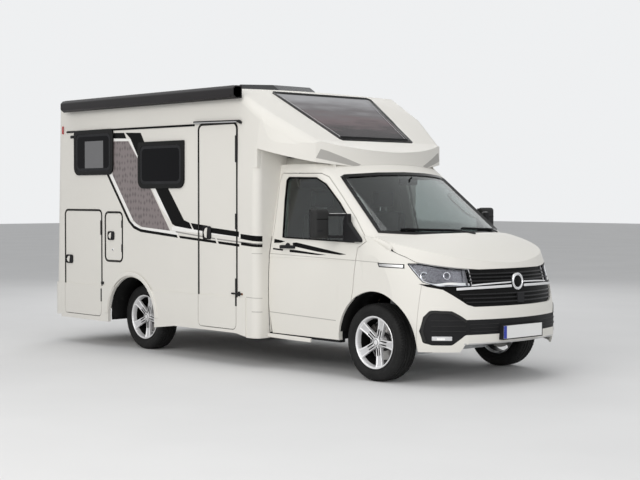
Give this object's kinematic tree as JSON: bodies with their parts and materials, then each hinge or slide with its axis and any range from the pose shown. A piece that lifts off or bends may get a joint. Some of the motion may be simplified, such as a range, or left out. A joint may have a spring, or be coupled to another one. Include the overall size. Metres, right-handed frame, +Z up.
{
  "type": "camper van",
  "caption": "Low-profile coachbuilt camper van on a transporter cab, with turning wheels, steering, cab doors, bonnet, living-space door, garage doors and service flap.",
  "frame": {"origin": "on the ground, midway along, across and under the whole vehicle", "axes": "+X forward, +Y to the vehicle's left, +Z up"},
  "size_m": [5.88, 2.417, 2.7581],
  "materials": {
    "body_paint": "gloss warm white",
    "coach_panel": "smooth gloss warm white",
    "black_plastic": "grained black",
    "gloss_black": "gloss black",
    "dark_trim": "soft grained dark grey",
    "lamp_glass": "clear polycarbonate",
    "lamp_red": "red lens",
    "clear_glass": "light tinted glass",
    "tinted_glass": "dark tinted acrylic",
    "floor_board": "dark laminate",
    "galvanised_steel": "dull zinc",
    "seat_fabric": "woven dark grey",
    "anthracite_metal": "powder coated anthracite",
    "cast_metal": "raw casting",
    "tyre": "matt black rubber",
    "alloy": "bright silver"
  },
  "bodies": {
    "root": {"fenders": "body_paint", "front_bumper": "body_paint", "bumper_trim": "black_plastic", "grille": "gloss_black", "headlamps": "lamp_glass", "cab_shell": "body_paint", "cab_posts": "body_paint", "side_wall_left": "coach_panel", "side_wall_right": "coach_panel", "rear_wall": "coach_panel", "roof_panel": "coach_panel", "cab_cap": "coach_panel", "panorama_window": "tinted_glass", "side_windows": "tinted_glass", "skirts": "coach_panel", "rear_bumper": "coach_panel", "tail_lamps": "lamp_red", "corner_fairings": "coach_panel", "floor_panel": "floor_board", "wheel_housings": "black_plastic", "entry_step": "black_plastic", "chassis_frame": "galvanised_steel", "cab_floor": "floor_board", "dashboard": "dark_trim", "cab_seats": "seat_fabric", "steering_column": "dark_trim", "windscreen": "clear_glass", "awning": "anthracite_metal", "roof_light": "tinted_glass", "engine_block": "cast_metal", "fuel_tank": "black_plastic", "front_axle": "galvanised_steel", "rear_axle": "galvanised_steel"},
    "steer_right": {"knuckle_right": "cast_metal"},
    "steer_left": {"knuckle_left": "cast_metal"},
    "wheel_front_left": {"tyre_front_left": "tyre", "rim_front_left": "alloy"},
    "wheel_front_right": {"tyre_front_right": "tyre", "rim_front_right": "alloy"},
    "wheel_rear_left": {"tyre_rear_left": "tyre", "rim_rear_left": "alloy"},
    "wheel_rear_right": {"tyre_rear_right": "tyre", "rim_rear_right": "alloy"},
    "door_left": {"cab_door_left": "body_paint", "door_glass_left": "clear_glass", "mirror_left": "black_plastic"},
    "door_right": {"cab_door_right": "body_paint", "door_glass_right": "clear_glass", "mirror_right": "black_plastic"},
    "habitation_door_leaf": {"habitation_door": "coach_panel"},
    "garage_door_right_leaf": {"garage_door_right": "coach_panel"},
    "garage_door_left_leaf": {"garage_door_left": "coach_panel"},
    "service_flap_leaf": {"service_flap": "coach_panel"},
    "bonnet_lid": {"bonnet": "body_paint"},
    "steering_wheel_body": {"steering_wheel": "dark_trim"}
  },
  "joints": [
    {"name": "steering_right", "type": "hinge", "parent": "root", "child": "steer_right", "pos_m": [2.032, -0.674, 0.338], "axis": [0, 0, 1], "range_deg": [-35, 35]},
    {"name": "steering_left", "type": "hinge", "parent": "root", "child": "steer_left", "pos_m": [2.032, 0.674, 0.338], "axis": [0, 0, 1], "range_deg": [-35, 35]},
    {"name": "spin_front_left", "type": "hinge", "parent": "steer_left", "child": "wheel_front_left", "pos_m": [2.032, 0.814, 0.338], "axis": [0, 1, 0], "continuous": true},
    {"name": "spin_front_right", "type": "hinge", "parent": "steer_right", "child": "wheel_front_right", "pos_m": [2.032, -0.814, 0.338], "axis": [0, 1, 0], "continuous": true},
    {"name": "spin_rear_left", "type": "hinge", "parent": "root", "child": "wheel_rear_left", "pos_m": [-1.368, 0.814, 0.338], "axis": [0, 1, 0], "continuous": true},
    {"name": "spin_rear_right", "type": "hinge", "parent": "root", "child": "wheel_rear_right", "pos_m": [-1.368, -0.814, 0.338], "axis": [0, 1, 0], "continuous": true},
    {"name": "cab_door_left_hinge", "type": "hinge", "parent": "root", "child": "door_left", "pos_m": [1.972, 0.957, 0.9], "axis": [0, 0, -1], "range_deg": [0, 68]},
    {"name": "cab_door_right_hinge", "type": "hinge", "parent": "root", "child": "door_right", "pos_m": [1.972, -0.957, 0.9], "axis": [0, 0, 1], "range_deg": [0, 68]},
    {"name": "habitation_door_hinge", "type": "hinge", "parent": "root", "child": "habitation_door_leaf", "pos_m": [0.4, -1.114, 1.3], "axis": [0, 0, 1], "range_deg": [0, 95]},
    {"name": "garage_door_right_hinge", "type": "hinge", "parent": "root", "child": "garage_door_right_leaf", "pos_m": [-1.869, -1.114, 0.9], "axis": [0, 0, 1], "range_deg": [0, 90]},
    {"name": "garage_door_left_hinge", "type": "hinge", "parent": "root", "child": "garage_door_left_leaf", "pos_m": [-1.869, 1.114, 0.9], "axis": [0, 0, -1], "range_deg": [0, 90]},
    {"name": "service_flap_hinge", "type": "hinge", "parent": "root", "child": "service_flap_leaf", "pos_m": [-1.486, -1.106, 1.2], "axis": [0, 0, 1], "range_deg": [0, 90]},
    {"name": "bonnet_hinge", "type": "hinge", "parent": "root", "child": "bonnet_lid", "pos_m": [2.008, 0, 1.262], "axis": [0, -1, 0], "range_deg": [0, 50]},
    {"name": "steering_wheel_turn", "type": "hinge", "parent": "root", "child": "steering_wheel_body", "pos_m": [1.432, 0.41, 1.075], "axis": [-0.891, 0, 0.454], "range_deg": [-525, 525]}
  ],
  "couplings": [
    {"joint": "steering_left", "follows": "steering_right", "ratio": 1},
    {"joint": "steering_wheel_turn", "follows": "steering_right", "ratio": 15}
  ]
}
